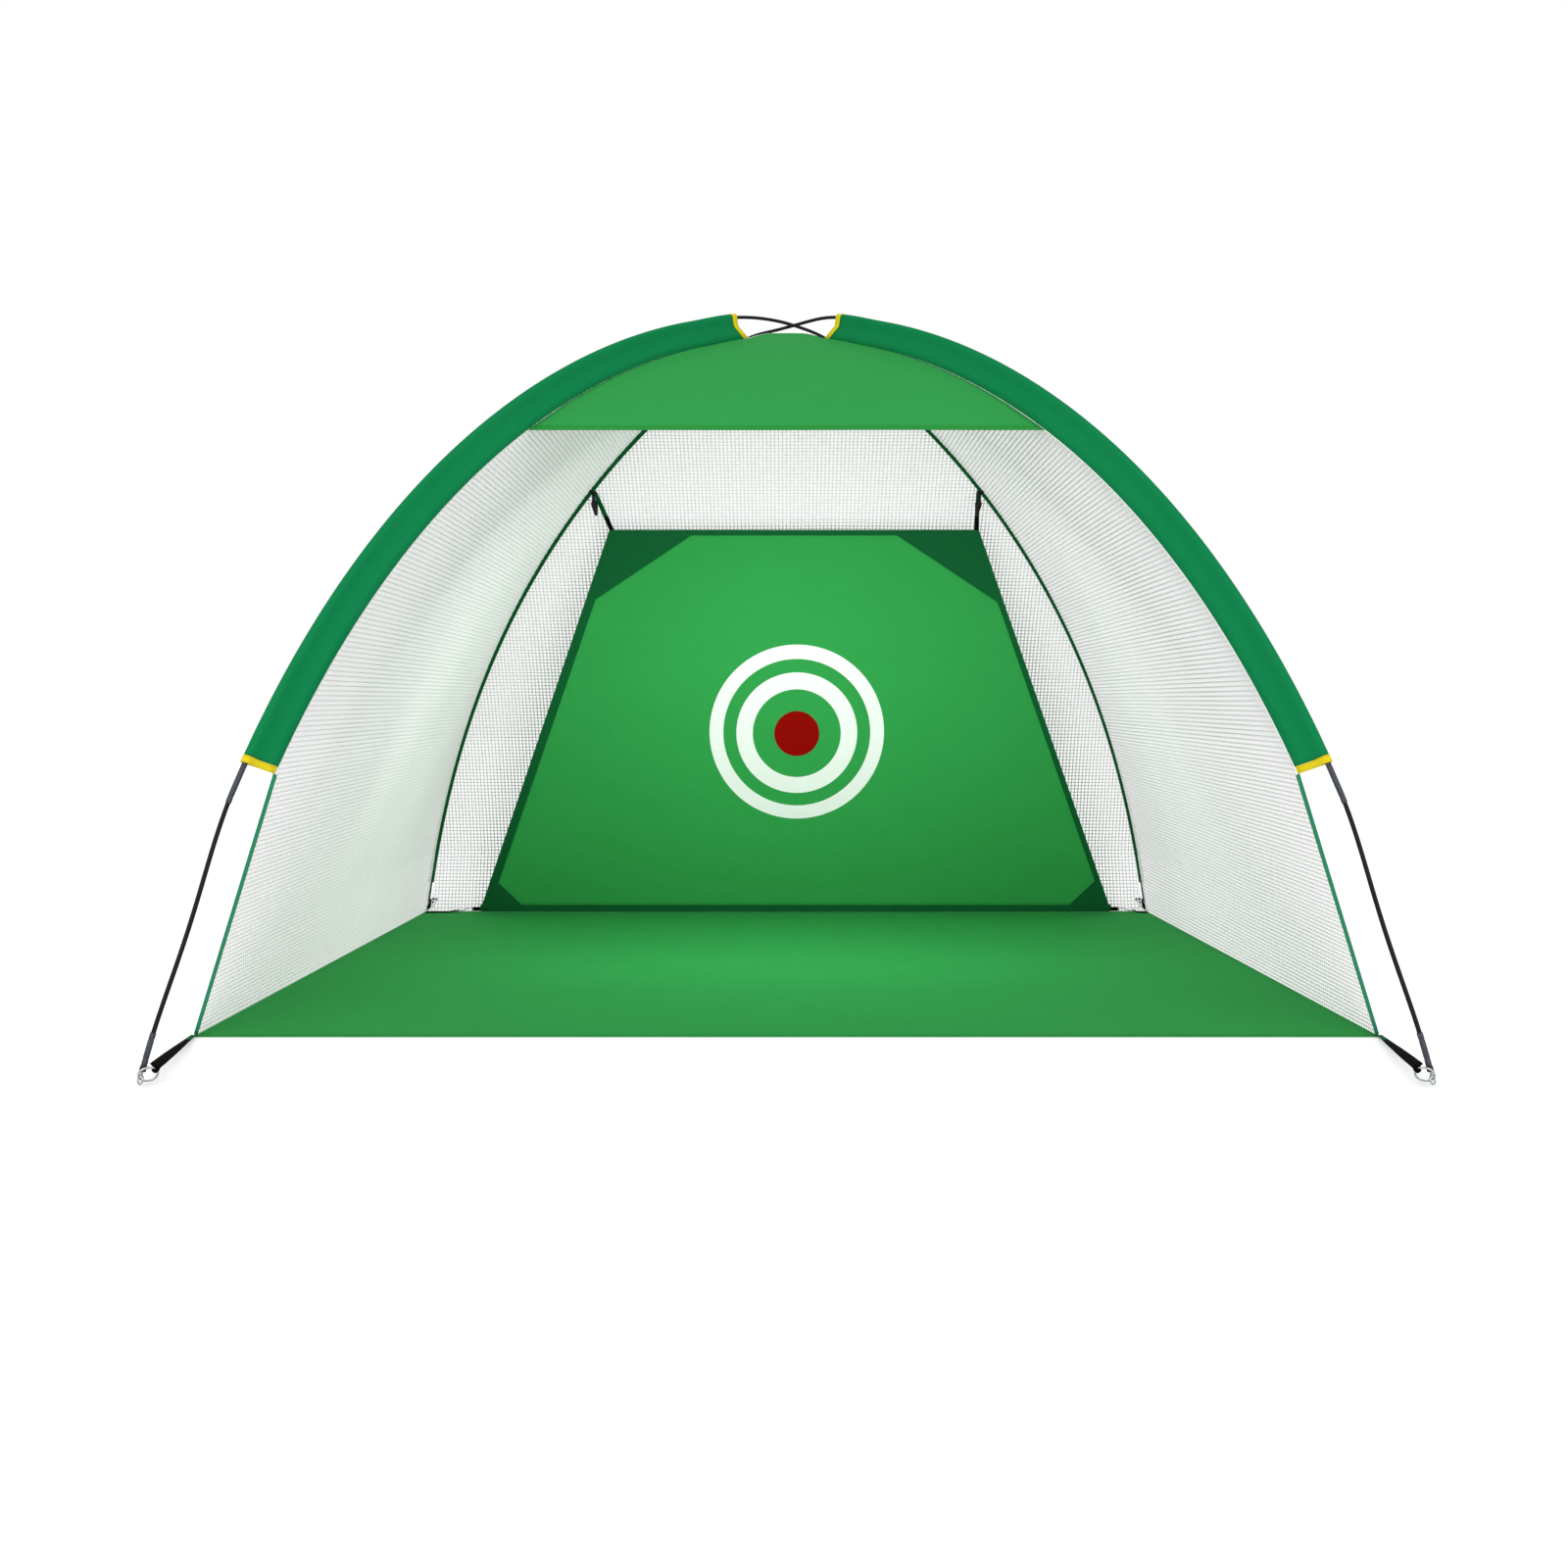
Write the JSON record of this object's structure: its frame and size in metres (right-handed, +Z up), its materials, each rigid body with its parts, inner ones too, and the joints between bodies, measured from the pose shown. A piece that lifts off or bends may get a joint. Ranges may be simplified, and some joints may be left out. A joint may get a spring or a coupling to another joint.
{
  "type": "golf chipping net",
  "caption": "Pop-up golf chipping net: crossing bent poles carry a netting cage with a hood, a floor sheet and a hung target sheet.",
  "frame": {"origin": "on the ground, in the middle of the bounding box's base, under the crossing poles' middle", "axes": "+Z up; the open front faces -Y; +X to the right as seen from the front, along the cage's width"},
  "size_m": [2.0374, 1.7635, 1.3783],
  "materials": {
    "fibreglass": "dark pultruded fibreglass, satin",
    "steel": "bright zinc plate",
    "sleeve_green": "woven polyester",
    "rear_sleeve_green": "woven polyester",
    "cloth_green": "woven polyester, printed on the target",
    "patch_green": "woven polyester",
    "edge_tape": "folded tape",
    "yellow_tape": "folded tape",
    "net_white": "fine knitted netting",
    "webbing": "black webbing",
    "clip_black": "moulded"
  },
  "bodies": {
    "cage": {"left_pole_section_1": "fibreglass", "left_pole_section_2": "fibreglass", "left_pole_section_3": "fibreglass", "left_pole_section_4": "fibreglass", "left_pole_section_5": "fibreglass", "left_pole_section_6": "fibreglass", "left_pole_section_7": "fibreglass", "left_pole_section_8": "fibreglass", "left_pole_section_9": "fibreglass", "right_pole_section_1": "fibreglass", "right_pole_section_2": "fibreglass", "right_pole_section_3": "fibreglass", "right_pole_section_4": "fibreglass", "right_pole_section_5": "fibreglass", "right_pole_section_6": "fibreglass", "right_pole_section_7": "fibreglass", "right_pole_section_8": "fibreglass", "right_pole_section_9": "fibreglass", "corner_pin_front_left": "steel", "corner_webbing_front_left": "webbing", "corner_pin_front_right": "steel", "corner_webbing_front_right": "webbing", "corner_pin_rear_left": "steel", "corner_webbing_rear_left": "webbing", "corner_pin_rear_right": "steel", "corner_webbing_rear_right": "webbing", "front_sleeve_left": "sleeve_green", "sleeve_binding_low_left": "yellow_tape", "sleeve_binding_top_left": "yellow_tape", "rear_sleeve_left": "rear_sleeve_green", "edge_tape_left": "edge_tape", "side_net_left": "net_white", "floor_hook_left": "steel", "floor_strap_left": "webbing", "front_sleeve_right": "sleeve_green", "sleeve_binding_low_right": "yellow_tape", "sleeve_binding_top_right": "yellow_tape", "rear_sleeve_right": "rear_sleeve_green", "edge_tape_right": "edge_tape", "side_net_right": "net_white", "floor_hook_right": "steel", "floor_strap_right": "webbing", "rear_net": "net_white", "hood": "cloth_green", "floor_sheet": "cloth_green"},
    "target": {"target_sheet": "cloth_green", "target_patch_upper_left": "patch_green", "target_patch_upper_right": "patch_green", "target_patch_lower_left": "patch_green", "target_patch_lower_right": "patch_green", "target_clip_left": "clip_black", "target_clip_right": "clip_black", "target_strap_left": "rear_sleeve_green", "target_strap_right": "rear_sleeve_green", "target_tab_left": "webbing", "target_tab_right": "webbing"},
    "ring_front_left": {"corner_ring_front_left": "steel"},
    "ring_front_right": {"corner_ring_front_right": "steel"},
    "ring_rear_left": {"corner_ring_rear_left": "steel"},
    "ring_rear_right": {"corner_ring_rear_right": "steel"}
  },
  "joints": [
    {"name": "target_drop", "type": "hinge", "parent": "cage", "child": "target", "pos_m": [0, 0.7825, 0.012], "axis": [1, 0, 0], "range_deg": [0, 69], "stiffness_Nm_per_rad": 10, "springref_deg": -17.19},
    {"name": "ring_swing_front_left", "type": "hinge", "parent": "cage", "child": "ring_front_left", "pos_m": [-0.9339, -0.87213, 0.01648], "axis": [0.8285, 0.0614, 0.5567], "range_deg": [-10, 10]},
    {"name": "ring_swing_front_right", "type": "hinge", "parent": "cage", "child": "ring_front_right", "pos_m": [0.9339, -0.87213, 0.01648], "axis": [-0.8285, 0.0614, 0.5567], "range_deg": [-10, 10]},
    {"name": "ring_swing_rear_left", "type": "hinge", "parent": "cage", "child": "ring_rear_left", "pos_m": [-1.00098, 0.8722, 0.0165], "axis": [0.8285, -0.0614, 0.5567], "range_deg": [-10, 10]},
    {"name": "ring_swing_rear_right", "type": "hinge", "parent": "cage", "child": "ring_rear_right", "pos_m": [1.00098, 0.8722, 0.0165], "axis": [-0.8285, -0.0614, 0.5567], "range_deg": [-10, 10]}
  ]
}
